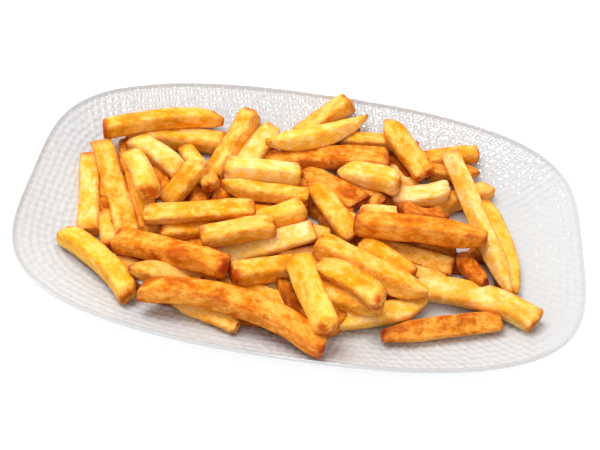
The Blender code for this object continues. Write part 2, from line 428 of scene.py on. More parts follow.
def store(obj, **stored):
    """Stores numbers or vectors, one for each point of an object's mesh, by name."""
    for name, values in stored.items():
        values = np.asarray(values, np.float32)
        kind, field = (("FLOAT", "value"), ("FLOAT_VECTOR", "vector"))[values.ndim - 1]
        attribute = obj.data.attributes.new(name, kind, "POINT")
        attribute.data.foreach_set(field, values.ravel())


def on_root(obj, node):
    """Makes a finished piece part of the model, in place of a node of the frame."""
    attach(obj, "root")
    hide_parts(node)


# ---- the platter's shape ----


def wall_height(inwards):
    """Height of the platter's inner face at a distance inwards from its outline."""
    along = np.clip((inwards - LIP_WIDTH) / (WALL_FOOT - LIP_WIDTH), 0.0, 1.0)
    rise = RIM_HEIGHT - LIP_DROP - FLOOR_HEIGHT
    return FLOOR_HEIGHT + rise * (1.0 - along) ** WALL_POWER


def outline_share(x, y, inwards):
    """Under 1 inside the platter's outline moved inwards, 1 on it, and over 1 outside it."""
    along = np.abs(x / (HALF_LENGTH - inwards)) ** LONG_POWER
    return along + np.abs(y / (HALF_WIDTH - inwards)) ** SHORT_POWER


def distance_inwards(x, y):
    """How far inside the platter's outline a point lies, by halving."""
    low = np.zeros(np.shape(x))
    high = np.full(np.shape(x), HALF_WIDTH - 1.0)
    for _ in range(18):
        middle = (low + high) / 2
        within = outline_share(x, y, middle) < 1
        low = np.where(within, middle, low)
        high = np.where(within, high, middle)
    return (low + high) / 2


def dish_height(x, y):
    """Height of what a fry would rest on, with no fries there."""
    inwards = distance_inwards(x, y)
    return np.where(inwards < LIP_WIDTH, RIM_HEIGHT, wall_height(inwards))


def outline(angles, inwards):
    """Points on the outline moved inwards, in the directions of some angles, by halving."""
    across, along = np.cos(angles), np.sin(angles)
    low = np.zeros(np.shape(angles))
    high = np.full(np.shape(angles), HALF_LENGTH + HALF_WIDTH)
    for _ in range(30):
        radius = (low + high) / 2
        within = outline_share(radius * across, radius * along, inwards) < 1
        low = np.where(within, radius, low)
        high = np.where(within, high, radius)
    return np.stack([radius * across, radius * along], axis=-1)


def even_angles(count, inwards):
    """Angles that share out a ring's length evenly."""
    fine = np.linspace(0.0, 2 * math.pi, 1441)
    points = outline(fine, inwards)
    steps = np.hypot(*np.diff(points, axis=0).T)
    travelled = np.concatenate([[0.0], np.cumsum(steps)])
    return np.interp(np.arange(count) / count * travelled[-1], travelled, fine)


def smooth_line(points, step):
    """A smooth line through some points, with a point about every step (Catmull-Rom)."""
    points = np.array(points, float)
    padded = np.vstack([2 * points[0] - points[1], points, 2 * points[-1] - points[-2]])
    line = []
    for index in range(1, len(padded) - 2):
        before, here, after, beyond = padded[index - 1 : index + 3]
        count = max(1, int(round(math.dist(here, after) / step)))
        for share in np.arange(count) / count:
            square = (2 * before - 5 * here + 4 * after - beyond) * share**2
            cube = (3 * here - before - 3 * after + beyond) * share**3
            line.append(0.5 * (2 * here + (after - before) * share + square + cube))
    return line + [points[-1]]


# How the dimples are pressed: where the first row lies, in spacings, over what distance they
# deepen past the lip, and where, over what distance and how much they fade down the wall
FIRST_ROW = 0.34
DIMPLE_RAMP = 0.7
DIMPLE_FADE_START = 24.0
DIMPLE_FADE_LENGTH = 22.0
DIMPLE_FADE = 0.68

# Steps between the points of the platter's mesh, and how many go round it
INNER_STEP = 0.80
FLOOR_STEP = 3.2
OUTER_STEP = 2.4
LIP_STEP = 0.55
PLATTER_ROUND = 980


def platter_section():
    """(distance inwards, height) from the foot's recess, round the lip, to the floor's edge."""
    foot = [
        (FOOT_INNER + 0.8, FOOT_RECESS),
        (FOOT_INNER + 0.3, FOOT_RECESS * 0.4),
        (FOOT_INNER - 0.3, 0.0),
        (FOOT_OUTER + 0.3, 0.0),
        (FOOT_OUTER - 0.5, 0.4),
    ]
    under = np.arange(FOOT_OUTER - 1.5, 6.5, -OUTER_STEP)
    outside = [(step, float(wall_height(step)) - BODY_THICKNESS) for step in under]
    turn = RIM_HEIGHT - LIP_DROP - BODY_THICKNESS + 0.5
    corners = [outside[-1], (4.0, turn - 0.9), (2.0, turn), (0.4, turn + 1.4)]
    corners += [(0.0, RIM_HEIGHT - 2.0), (0.5, RIM_HEIGHT - 0.6), (LIP_WIDTH / 2, RIM_HEIGHT)]
    corners += [(LIP_WIDTH - 0.5, RIM_HEIGHT - 0.6), (LIP_WIDTH, RIM_HEIGHT - LIP_DROP)]
    lip = [tuple(point) for point in smooth_line(corners, LIP_STEP)[1:]]
    inner = list(np.arange(LIP_WIDTH + INNER_STEP, WALL_FOOT + 2.0, INNER_STEP))
    inner += list(np.arange(WALL_FOOT + 2.0 + FLOOR_STEP, FLOOR_EDGE, FLOOR_STEP))
    inside = [(step, float(wall_height(step))) for step in inner]
    return foot + outside + lip + inside, len(foot + outside + lip)


def dimple_weight(inwards):
    """How deeply the dimples are pressed: fully on the wall, faintly on the floor."""
    start = np.clip((inwards - LIP_WIDTH) / DIMPLE_RAMP, 0.0, 1.0)
    fade = np.clip((inwards - DIMPLE_FADE_START) / DIMPLE_FADE_LENGTH, 0.0, 1.0)
    return start * (1.0 - DIMPLE_FADE * fade)


def platter_blank():
    """The platter before its dimples are pressed, with how deep they go at each point."""
    section, first_inside = platter_section()
    angles = even_angles(PLATTER_ROUND, 0.0)
    points, depth, faces = [], [], []
    for index, (inwards, height) in enumerate(section):
        ring = outline(angles, inwards)
        points.append(np.column_stack([ring, np.full(len(ring), height)]) * MM)
        pressed = dimple_weight(inwards) if index >= first_inside else 0.0
        depth.append(np.full(PLATTER_ROUND, pressed))
        if index:
            here = np.arange(PLATTER_ROUND) + (index - 1) * PLATTER_ROUND
            after = np.roll(here, -1)
            faces += np.stack([here, after, after + PLATTER_ROUND, here + PLATTER_ROUND], 1).tolist()
    middle = [[0.0, 0.0, FOOT_RECESS * MM], [0.0, 0.0, FLOOR_HEIGHT * MM]]
    points = np.vstack([*points, middle])
    depth = np.concatenate([*depth, [0.0, depth[-1][0]]])
    last = (len(section) - 1) * PLATTER_ROUND
    for index in range(PLATTER_ROUND):
        after = (index + 1) % PLATTER_ROUND
        faces.append([after, index, len(points) - 2])
        faces.append([last + index, last + after, len(points) - 1])
    obj = mesh_object("dimpled_platter", points.tolist(), faces)
    store(obj, pressed=depth)
    return obj


def dimple_rows(spacing):
    """Closed rows round the platter's inside, one for each row of dimples, as loops of edges.

    Rows are a hexagon's height apart along the wall, and every other one starts half a
    dimple further on.
    """
    inwards = np.arange(LIP_WIDTH, 80.0, 0.1)
    height = wall_height(inwards)
    travelled = np.concatenate([[0.0], np.cumsum(np.hypot(0.1, np.diff(height)))])
    places = np.arange(FIRST_ROW * spacing, travelled[-1], spacing * math.sqrt(3) / 2)
    points, edges = [], []
    for row, step in enumerate(np.interp(places, travelled, inwards)):
        rough = outline(np.linspace(0, 2 * math.pi, 400), step)
        length = np.hypot(*np.diff(rough, axis=0).T).sum()
        count = max(6, round(length / spacing))
        fine = even_angles(count * 2, step)
        ring = outline(fine[row % 2 :: 2], step)
        start = len(points)
        points += np.column_stack([ring, np.full(count, float(wall_height(step)))]).tolist()
        edges += [(start + index, start + (index + 1) % count) for index in range(count)]
    return mesh_object("dimple_rows", (np.array(points) * MM).tolist(), edges=edges)


def dimple_tree():
    """Presses a shallow round hollow into a surface at each point of an object's rows."""
    inputs = {"Rows": "Object", "Spacing": "Float", "Depth": "Float", "Scatter": "Vector"}
    inputs |= {"Seed": "Int", "Material": "Material"}
    tree, given, node = new_tree("press_dimples", inputs)
    rows = node("GeometryNodeObjectInfo", given["Rows"]).outputs["Geometry"]
    least = node(VECTOR, given["Scatter"], -1.0, operation="SCALE")
    scatter = node(
        "FunctionNodeRandomValue",
        sockets={"Min": least, "Max": given["Scatter"], "Seed": given["Seed"]},
        data_type="FLOAT_VECTOR",
    )
    middles = node("GeometryNodeSetPosition", rows, sockets={"Offset": scatter})
    nearest = node("GeometryNodeProximity", middles, target_element="POINTS")
    distance = nearest.outputs["Distance"]
    share = node(MATH, distance, given["Spacing"], operation="DIVIDE")
    curve = node(MATH, share, share, operation="MULTIPLY")
    # a hollow ends where the next one starts, a bit over half the spacing from its middle
    rise = node(MATH, curve, 3.0, -1.0, operation="MULTIPLY_ADD")
    hollow = node(MATH, rise, 0.0, operation="MINIMUM")
    pressed = node("GeometryNodeInputNamedAttribute", "pressed", data_type="FLOAT")
    deep = node(MATH, given["Depth"], pressed, operation="MULTIPLY")
    amount = node(MATH, hollow, deep, operation="MULTIPLY")
    normal = node("GeometryNodeInputNormal")
    offset = node(VECTOR, normal, amount, operation="SCALE")
    moved = node("GeometryNodeSetPosition", given["Geometry"], sockets={"Offset": offset})
    end_tree(node, moved, given["Material"])
    return tree


def glazed_porcelain(settings):
    """Fired porcelain under a clear glaze, moulded with its dimples.

    It is a cool near-white body with a sharp wet gloss, which pools a little in the
    dimples, so that each one holds its own small highlight. The foot ring's face is
    wiped clean of glaze before firing, so it is matt and slightly warmer.
    """
    material, shader, node = new_material("glazed_porcelain")
    place = node("ShaderNodeTexCoord").outputs["Object"]
    height = node("ShaderNodeSeparateXYZ", place).outputs["Z"]
    glazed = node(RANGE, height, 0.15 * MM, 0.5 * MM)
    # faint unevenness of the body's white, some centimetres across
    clouds = node(NOISE, place, 1 / (30 * MM), 2.0)
    white, dull = linear(settings.glaze), linear([0.985 * part for part in settings.glaze])
    tint = node("ShaderNodeMix", clouds, white, dull, data_type="RGBA")
    clay = linear(settings.bare_clay)
    body = node("ShaderNodeMix", glazed, clay, tint, data_type="RGBA")
    rough = node(RANGE, glazed, sockets={"To Min": 0.65, "To Max": 0.10})
    # the glaze levels itself, apart from a slow ripple
    ripple = node(NOISE, place, 1 / (2.2 * MM), 1.0)
    bump = node("ShaderNodeBump", sockets={"Height": ripple, "Distance": 0.03 * MM, "Strength": 0.5})
    connect(shader, (), {"Base Color": body, "Roughness": rough, "Normal": bump})
    connect(shader, (), {"IOR": 1.52, "Coat Weight": 0.5, "Coat Roughness": 0.05})
    return material


class FRIES_OT_platter(bpy.types.Operator):
    """Makes the porcelain platter with its dimpled inside"""

    bl_idname = "fries.make_platter"
    bl_label = "Make Platter"

    def execute(self, context):
        settings = context.scene.fries_platter
        platter = platter_blank()
        rows = dimple_rows(settings.dimple_spacing / MM)
        scatter = settings.dimple_scatter
        values = {
            "Rows": rows,
            "Spacing": settings.dimple_spacing,
            "Depth": settings.dimple_depth,
            "Scatter": (scatter, scatter, 0.0),
            "Seed": settings.seed,
            "Material": glazed_porcelain(settings),
        }
        run_tree(platter, dimple_tree(), values)
        bpy.data.objects.remove(rows)
        on_root(platter, "platter")
        return {"FINISHED"}


# ---- how the fries lie ----


class Ground:
    """Height of everything laid so far, on a grid of whole millimetres."""

    def __init__(self):
        self.half_x = int(HALF_LENGTH) + 2
        self.half_y = int(HALF_WIDTH) + 3
        x, y = np.meshgrid(
            np.arange(-self.half_x, self.half_x + 1.0),
            np.arange(-self.half_y, self.half_y + 1.0),
            indexing="ij",
        )
        self.height = dish_height(x, y)

    def cells(self, points):
        column = np.round(points[..., 0] + self.half_x).astype(int)
        row = np.round(points[..., 1] + self.half_y).astype(int)
        column = np.clip(column, 0, self.height.shape[0] - 1)
        row = np.clip(row, 0, self.height.shape[1] - 1)
        return column, row


def resting_line(along, support):
    """Height of a fry's middle, and its slope, when it rests on what is under it.

    Of all the pairs of points it could rest on, the pair that holds the middle highest
    carries it. A free end never rises far above the highest point under the fry, because
    its neighbours hold it down.
    """
    left, right = along < 0, along > 0
    left_at, left_on = along[left][:, None], support[left][:, None]
    right_at, right_on = along[right][None, :], support[right][None, :]
    at_middle = (left_on * right_at - right_on * left_at) / (right_at - left_at)
    carried = max(at_middle.max(), support[np.argmin(np.abs(along))])
    steepest = ((support - carried)[left] / along[left]).min()
    least = ((support - carried)[right] / along[right]).max()
    slope = min(max(0.0, least), max(steepest, least))
    most = max(0.0, (support.max() + FREE_END_RISE - carried) / along[-1])
    slope = min(max(slope, -most), most)
    return (support - slope * along).max(), slope


def lay_fry(ground, x0, y0, x1, y1, width, bow):
    """Lays one fry on the ground, adds its top to it, and returns how it lies."""
    length = math.hypot(x1 - x0, y1 - y0)
    forward = np.array([x1 - x0, y1 - y0]) / length
    sideways = np.array([-forward[1], forward[0]])
    share = np.linspace(0.0, 1.0, int(length / 1.2) + 2)
    line = np.array([x0, y0]) + np.outer(share * length, forward)
    line = line + np.outer(bow * (1 - (2 * share - 1) ** 2), sideways)
    across = np.linspace(-width / 2, width / 2, int(width) + 2)
    cells = ground.cells(line[:, None, :] + across[None, :, None] * sideways)

    resting = np.abs(across) <= CONTACT_WIDTH * width
    support = ground.height[cells][:, resting].max(axis=1) - FRY_BEDDING
    along = (share - 0.5) * length
    middle_height, slope = resting_line(along, support)

    thickness = FRY_THICKNESS * width
    crown = (1 - np.abs(2 * across / width).clip(0, 1) ** 3) ** (1 / 3)
    under = middle_height + slope * along
    top = under[:, None] + thickness * (1 + crown) / 2
    keep = np.abs(across) <= COVER_WIDTH * width
    columns, rows = cells[0][:, keep], cells[1][:, keep]
    np.maximum.at(ground.height, (columns, rows), top[:, keep])
    middle = ((x0 + x1) / 2, (y0 + y1) / 2, middle_height + thickness / 2)
    half = (length / 2 * math.hypot(1, slope), width / 2, thickness / 2)
    return middle, (*forward, slope), half


def laid_fries():
    """How every fry lies: its kind, middle, direction, half sizes, bow and end shapes."""
    ground = Ground()
    laid = []
    for kind, x0, y0, x1, y1, width, bow, start, finish in FRIES:
        middle, forward, half = lay_fry(ground, x0, y0, x1, y1, width, bow)
        laid.append((kind, middle, forward, half, bow, END_SHAPES[start], END_SHAPES[finish]))
    return laid, ground


def spread_out(values, cells):
    """Values on a grid, each averaged with those up to a number of cells away both ways."""
    for axis in (0, 1):
        shifted = [np.roll(values, step, axis) for step in range(-cells, cells + 1)]
        values = np.mean(shifted, axis=0)
    return values


def lowest_near(values, cells):
    """Values on a grid, each replaced by the least up to a number of cells away both ways."""
    for axis in (0, 1):
        shifted = [np.roll(values, step, axis) for step in range(-cells, cells + 1)]
        values = np.min(shifted, axis=0)
    return values


def heap_thickness(ground):
    """How covered the ground is near each cell, and how thick the heap is there.

    The thickness comes twice: as the average, and as the least under a fry in sight.
    """
    over = ground.height - Ground().height
    heaped = over > 1.0
    cover = spread_out(spread_out(heaped.astype(float), 5), 4)
    usual = spread_out(over * heaped, 6) / spread_out(heaped + 1e-6, 6)
    least = lowest_near(np.where(heaped, over, over.max()), 4)
    return cover, usual, least


def heap_core(ground):
    """A low rough mound under the fries, which closes the deepest gaps between them."""
    dish = Ground().height
    cover, usual, least = heap_thickness(ground)
    share = np.clip((cover - CORE_COVER) / CORE_RAMP, 0.0, 1.0)
    thick = np.minimum(CORE_SHARE * usual, least - CORE_BELOW).clip(0.0, CORE_MOST)
    thick = (share * thick)[::CORE_STEP, ::CORE_STEP]
    floor = dish[::CORE_STEP, ::CORE_STEP]
    solid = thick > CORE_LEAST
    kept = solid[:-1, :-1] & solid[1:, :-1] & solid[:-1, 1:] & solid[1:, 1:]
    # Two squares that met at one corner only would leave the mesh pinched there.
    for _ in range(4):
        a, b, c, d = kept[:-1, :-1], kept[1:, :-1], kept[:-1, 1:], kept[1:, 1:]
        b |= a & d & ~c
        a |= b & c & ~d
    points, places, faces = [], {}, []

    def corner(i, j, top):
        if (i, j, top) not in places:
            x, y = i * CORE_STEP - ground.half_x, j * CORE_STEP - ground.half_y
            lump = noise.noise(Vector((x, y, CORE_LUMP_LENGTH / 2)) / CORE_LUMP_LENGTH)
            raised = max(thick[i, j] + CORE_LUMP * lump, CORE_THINNEST)
            z = floor[i, j] + (raised if top else -CORE_SUNK)
            places[i, j, top] = len(points)
            points.append((x * MM, y * MM, z * MM))
        return places[i, j, top]

    for i, j in zip(*np.nonzero(kept)):
        ring = [(i, j), (i + 1, j), (i + 1, j + 1), (i, j + 1)]
        faces.append([corner(*c, True) for c in ring])
        faces.append([corner(*c, False) for c in reversed(ring)])
        beyond = [(i, j - 1), (i + 1, j), (i, j + 1), (i - 1, j)]
        for side, (u, v) in enumerate(beyond):
            inside = 0 <= u < kept.shape[0] and 0 <= v < kept.shape[1]
            if not (inside and kept[u, v]):
                a, b = ring[side], ring[(side + 1) % 4]
                faces.append([corner(*a, False), corner(*b, False), corner(*b, True), corner(*a, True)])
    obj = mesh_object("heap_core", points, faces)
    count = len(points)
    # A high own number pushes the mound to the warm dark end of the under colours: painted shade for
    # the deepest gaps, standing for the lowest fries.
    store(obj, grain=points, own=[0.8] * count, to_edge=[1.0] * count, to_tip=[1.0] * count)
    obj.data.polygons.foreach_set("use_smooth", [True] * len(faces))
    return obj


def buried_fries(ground, rng):
    """Shorter fries under the heap, wherever it is thick, which show only between the others.

    Each lies flat below the heap's usual height around it, inside the heap's outline.
    """
    dish = Ground().height
    cover, usual, least = heap_thickness(ground)
    found = []
    for row, y in enumerate(np.arange(-BURIED_HALF_Y, BURIED_HALF_Y + 1, BURIED_ROW)):
        first = BURIED_APART / 2 * (row % 2) - BURIED_HALF_X
        for x in np.arange(first, BURIED_HALF_X + 1, BURIED_APART):
            for length in BURIED_LENGTHS:
                angle, width = rng.uniform(0, math.pi), rng.uniform(*BURIED_WIDTHS)
                forward = np.array([math.cos(angle), math.sin(angle)])
                steps = np.linspace(-0.5, 0.5, 9) * (length + 4.0)
                cells = ground.cells(np.array([x, y]) + steps[:, None] * forward)
                if cover[cells].min() < BURIED_COVER:
                    continue
                thickness = FRY_THICKNESS * width
                over = min(BURIED_SHARE * usual[cells].min(), least[cells].min() - BURIED_BELOW)
                top = dish[cells].max() + max(over, LEAST_BURIED)
                middle = (x, y, top - thickness / 2)
                half = (length / 2, width / 2, thickness / 2)
                ends = (END_SHAPES["round"], END_SHAPES["taper"])
                # buried fries take the under colours, which carry painted shade for the gaps
                found.append(("under", middle, (*forward, 0.0), half, 0.0, *ends))
                break
    return found


# ---- a fry's shape ----

# Points along and round a fry in sight, and a buried one
FRY_MESH = (58, 12)
BURIED_MESH = (26, 8)

# An end's narrowing grows with this power, flattens the tip less, and the end faces' edges
# are crisper than the sides'
END_POWER = 1.7
TIP_FLATTENING = 0.75
END_CRISPNESS = 0.55


def fry_tree():
    """Makes a fry at each point: a rounded bar, shaped by what the point stores.

    A point stores its fry's place (middle, forward), half sizes (half), end shapes (start,
    finish, cuts), sideways bow, turn and twist (bend), how far its section leans and widens
    downwards (section), and a number of its own (own).
    """
    inputs = {"Stations": "Int", "Sides": "Int", "Edge rounding": "Float", "Sway": "Float"}
    inputs |= {"Lump height": "Float", "Lump length": "Float"}
    inputs |= {"Blister height": "Float", "Blister size": "Float", "Material": "Material"}
    tree, given, node = new_tree("shape_fries", inputs)
    sides = given["Sides"]
    bar = node("GeometryNodeMeshCube", (2.0, 2.0, 2.0), given["Stations"], sides, sides)
    blank = node(
        "GeometryNodeStoreNamedAttribute",
        sockets={"Geometry": bar, "Name": "blank", "Value": node("GeometryNodeInputPosition")},
        data_type="FLOAT_VECTOR",
    )
    each = node(
        "GeometryNodeInstanceOnPoints", sockets={"Points": given["Geometry"], "Instance": blank}
    )
    bars = node("GeometryNodeRealizeInstances", each)

    stored, part = {}, {}
    names = ("blank", "middle", "forward", "half", "start", "finish", "cuts", "bend", "section")
    for name in names:
        stored[name] = node("GeometryNodeInputNamedAttribute", name, data_type="FLOAT_VECTOR")
        part[name] = node("ShaderNodeSeparateXYZ", stored[name]).outputs
    own = node("GeometryNodeInputNamedAttribute", "own", data_type="FLOAT")
    along = part["blank"]["X"]

    # how far each end's narrowing, lean to one side and slanted cut have come at this point
    narrowing, lean, slant = 0.0, 0.0, 0.0
    for name, sign, cut in (("start", -1.0, "X"), ("finish", 1.0, "Y")):
        taper, reach, side = part[name]["X"], part[name]["Y"], part[name]["Z"]
        towards = node(MATH, along, sign, operation="MULTIPLY")
        begins = node(MATH, 1.0, reach, operation="SUBTRACT")
        ramp = node(RANGE, towards, begins, 1.0)
        curve = node(MATH, ramp, END_POWER, operation="POWER")
        less = node(MATH, curve, taper, operation="MULTIPLY")
        leaning = node(MATH, less, side, operation="MULTIPLY")
        cutting = node(MATH, ramp, part["cuts"][cut], operation="MULTIPLY")
        narrowing = node(MATH, narrowing, less)
        lean = node(MATH, lean, leaning)
        slant = node(MATH, slant, cutting)
    narrow = node(MATH, 1.0, narrowing, operation="SUBTRACT")
    flatter = node(MATH, narrowing, -TIP_FLATTENING, 1.0, operation="MULTIPLY_ADD")
    wide = node(MATH, part["half"]["Y"], narrow, operation="MULTIPLY")
    thick = node(MATH, part["half"]["Z"], flatter, operation="MULTIPLY")

    # a box of that size with all its edges rounded
    box = node(COMBINE, part["half"]["X"], wide, thick)
    point = node(VECTOR, stored["blank"], box, operation="MULTIPLY")
    smaller = node(MATH, wide, thick, operation="MINIMUM")
    radius = node(MATH, smaller, given["Edge rounding"], operation="MULTIPLY")
    # the end faces keep crisper edges than the sides, because they are cut last
    crisp = node(MATH, radius, END_CRISPNESS, operation="MULTIPLY")
    corner = node(COMBINE, crisp, radius, radius)
    inner = node(VECTOR, box, corner, operation="SUBTRACT")
    outer = node(VECTOR, inner, sockets={"Scale": -1.0}, operation="SCALE")
    kept = node(VECTOR, point, inner, operation="MINIMUM")
    core = node(VECTOR, kept, outer, operation="MAXIMUM")
    out = node(VECTOR, point, core, operation="SUBTRACT")
    out = node(VECTOR, out, corner, operation="DIVIDE")
    out = node(VECTOR, out, operation="NORMALIZE")
    around = node(VECTOR, out, corner, operation="MULTIPLY")
    skin = node(VECTOR, core, around, operation="ADD")

    # distances to the nearest edge and to the nearer tip, which the crust's colour follows, with
    # painted shade along the edges
    size = node(VECTOR, stored["blank"], operation="ABSOLUTE")
    left_over = node(VECTOR, (1.0, 1.0, 1.0), size, operation="SUBTRACT")
    gaps = node(VECTOR, left_over, box, operation="MULTIPLY")
    gap = node("ShaderNodeSeparateXYZ", gaps).outputs
    least = node(MATH, gap["X"], gap["Y"], operation="MINIMUM")
    most = node(MATH, gap["X"], gap["Y"], operation="MAXIMUM")
    other = node(MATH, most, gap["Z"], operation="MINIMUM")
    to_edge = node(MATH, least, other, operation="MAXIMUM")

    # lumps, which are longer than they are wide, and blisters lift or sink the skin
    shift = node(VECTOR, (3.1, 1.7, 2.3), own, operation="MULTIPLY")
    grain = node(VECTOR, skin, shift, operation="ADD")
    drawn = node(VECTOR, skin, (0.5, 1.0, 1.0), shift, operation="MULTIPLY_ADD")
    relief = 0.0
    for place, size, height, detail in (
        (drawn, "Lump length", "Lump height", 1.5),
        (grain, "Blister size", "Blister height", 2.0),
    ):
        scale = node(MATH, 1.0, given[size], operation="DIVIDE")
        uneven = node(NOISE, place, scale, detail)
        uneven = node(MATH, uneven, 0.5, operation="SUBTRACT")
        relief = node(MATH, uneven, given[height], relief, operation="MULTIPLY_ADD")
    lift = node(VECTOR, out, sockets={"Scale": relief}, operation="SCALE")
    rough = node(VECTOR, skin, lift, operation="ADD")

    # the whole bar wanders, leans and is cut at a slant
    route = node(COMBINE, part["blank"]["X"], own, 0.0)
    sway = node(NOISE, route, 1.6, 1.0).outputs["Color"]
    sway = node(VECTOR, sway, (0.5, 0.5, 0.5), operation="SUBTRACT")
    swing = node(COMBINE, 0.0, given["Sway"], given["Sway"])
    sway = node(VECTOR, sway, swing, rough, operation="MULTIPLY_ADD")
    skewed = node("ShaderNodeSeparateXYZ", rough).outputs
    spread = skewed["Y"]
    cut_back = node(MATH, spread, slant, operation="MULTIPLY")
    sideways = node(MATH, lean, part["half"]["Y"], operation="MULTIPLY")
    sideways = node(MATH, skewed["Z"], part["section"]["X"], sideways, operation="MULTIPLY_ADD")
    wedge = node(MATH, part["section"]["Y"], part["blank"]["Z"], operation="MULTIPLY")
    sideways = node(MATH, wedge, spread, sideways, operation="MULTIPLY_ADD")
    pushed = node(COMBINE, cut_back, sideways, 0.0)
    shaped = node(VECTOR, sway, pushed, operation="ADD")
    turn = node(MATH, part["bend"]["Z"], along, part["bend"]["Y"], operation="MULTIPLY_ADD")
    turned = node(
        "ShaderNodeVectorRotate", sockets={"Vector": shaped, "Angle": turn}, rotation_type="X_AXIS"
    )
    square = node(MATH, along, along, operation="MULTIPLY")
    arch = node(MATH, 1.0, square, operation="SUBTRACT")
    bow = node(MATH, arch, part["bend"]["X"], operation="MULTIPLY")
    sag = node(MATH, arch, part["cuts"]["Z"], operation="MULTIPLY")
    bowed = node(COMBINE, 0.0, bow, sag)
    bent = node(VECTOR, turned, bowed, operation="ADD")

    facing = node(
        "FunctionNodeAxesToRotation",
        stored["forward"],
        (0.0, 0.0, 1.0),
        primary_axis="X",
        secondary_axis="Z",
    )
    carried = node("FunctionNodeRotateVector", bent, facing)
    place = node(VECTOR, carried, stored["middle"], operation="ADD")

    fries = bars
    for name, value, kind in (
        ("grain", grain, "FLOAT_VECTOR"),
        ("to_edge", to_edge, "FLOAT"),
        ("to_tip", gap["X"], "FLOAT"),
    ):
        fries = node(
            "GeometryNodeStoreNamedAttribute",
            sockets={"Geometry": fries, "Name": name, "Value": value},
            data_type=kind,
        )
    fries = node("GeometryNodeSetPosition", fries, sockets={"Position": place})
    end_tree(node, fries, given["Material"])
    return tree


def fried_potato(kind, light, warm, crust, patchy):
    """Potato fried in deep oil, in one shade of doneness.

    The faces stay pale and slightly translucent, with warm mottling where the crust is
    thicker, and brown patches on the ones fried longer. Edges and tips fry first, so they
    are the darkest; the dark along the edges is partly that browning and partly painted
    shade along each fry's outline. Oil leaves a soft satin sheen over fine blisters.
    """
    material, shader, node = new_material("fried_potato_" + kind)
    grain = node("ShaderNodeAttribute", attribute_name="grain").outputs["Vector"]
    own = node("ShaderNodeAttribute", attribute_name="own").outputs["Fac"]
    to_edge = node("ShaderNodeAttribute", attribute_name="to_edge").outputs["Fac"]
    to_tip = node("ShaderNodeAttribute", attribute_name="to_tip").outputs["Fac"]

    # mottling, drawn out a little along the fry as the potato's fibres are
    drawn = node(VECTOR, grain, (0.7, 1.0, 1.0), operation="MULTIPLY")
    spread = node(NOISE, drawn, 1 / (9 * MM), 7.0, 0.66)
    clouds = node(NOISE, drawn, 1 / (3.2 * MM), 6.0, 0.72)
    fine = node(RANGE, clouds, 0.40, 0.60, 0.0, 0.9)
    broad = node(RANGE, spread, 0.38, 0.62, -0.25, 0.55)
    mottled = node(MATH, fine, broad, operation="ADD")
    done = node(RANGE, own, 0.0, 1.0, -0.2, 0.2)
    warmth = node(MATH, mottled, done, operation="ADD", use_clamp=True)
    colour = node("ShaderNodeMix", warmth, linear(light), linear(warm), data_type="RGBA")

    # brown patches with ragged borders
    patches = node(RANGE, spread, 0.49, 0.65, 0.0, 0.8 * patchy)
    colour = node("ShaderNodeMix", patches, colour, linear(crust), data_type="RGBA")

    # the crust darkens along the edges and towards the tips, on some stretches more; along the edges
    # this is partly browning and partly painted shade along each fry's outline
    stretch = node(NOISE, grain, 1 / (7 * MM), 5.0, 0.66)
    edge = node(
        RANGE,
        sockets={"Value": to_edge, "From Max": 3.0 * MM, "To Min": 0.5, "To Max": 0.0},
        interpolation_type="SMOOTHSTEP",
    )
    tip = node(RANGE, to_tip, 0.0, 5.0 * MM, 1.1, 0.0)
    fried = node(MATH, edge, tip, operation="MAXIMUM")
    amount = node(RANGE, stretch, 0.38, 0.60, 0.12, 1.15)
    fried = node(MATH, fried, amount, operation="MULTIPLY", use_clamp=True)
    colour = node("ShaderNodeMix", fried, colour, linear(crust), data_type="RGBA")

    # small dark specks, about half a millimetre across
    dots = node(NOISE, grain, 1 / (1.1 * MM), 2.0, 0.5)
    specks = node(RANGE, dots, 0.64, 0.74, 0.0, 0.5)
    colour = node("ShaderNodeMix", specks, colour, linear(crust), data_type="RGBA")

    sheen = node(RANGE, clouds, 0.3, 0.7, 0.34, 0.52)
    blisters = node(NOISE, drawn, 1 / (1.0 * MM), 5.0, 0.7)
    bump = node("ShaderNodeBump", sockets={"Height": blisters, "Distance": 0.5 * MM, "Strength": 0.75})
    connect(shader, (), {"Base Color": colour, "Roughness": sheen, "Normal": bump})
    connect(shader, (), {"IOR": 1.45, "Specular IOR Level": 0.14, "Subsurface Weight": 0.10})
    connect(shader, (), {"Subsurface Radius": (1.0, 0.72, 0.35), "Subsurface Scale": 2.0 * MM})
    return material


# The most that chance does to a fry: turn and twist in radians, sag in millimetres, and its
# section's lean and widening as shares
MOST_TURN = 0.30
MOST_TWIST = 0.16
MOST_SAG = 0.8
MOST_LEAN = 0.22
MOST_WEDGE = 0.14
KEPT_ATTRIBUTES = {"grain", "own", "to_edge", "to_tip"}


def fry_points(name, fries, chance):
    """One point for each fry of a kind, with all that shapes it stored on the point."""
    obj = mesh_object(name, [(0.0, 0.0, 0.0)] * len(fries))
    middle, forward, half, bow, start, finish = zip(*fries)
    turn, twist, sag, skew, wedge, own = chance
    cuts = [(a[3], b[3], s * MOST_SAG * MM) for a, b, s in zip(start, finish, sag)]
    bend = [(b * MM, t * MOST_TURN, w * MOST_TWIST) for b, t, w in zip(bow, turn, twist)]
    section = [(a * MOST_LEAN, b * MOST_WEDGE, 0.0) for a, b in zip(skew, wedge)]
    store(obj, middle=np.array(middle) * MM, forward=forward, half=np.array(half) * MM)
    store(obj, start=[end[:3] for end in start], finish=[end[:3] for end in finish])
    store(obj, cuts=cuts, bend=bend, section=section, own=own)
    return obj


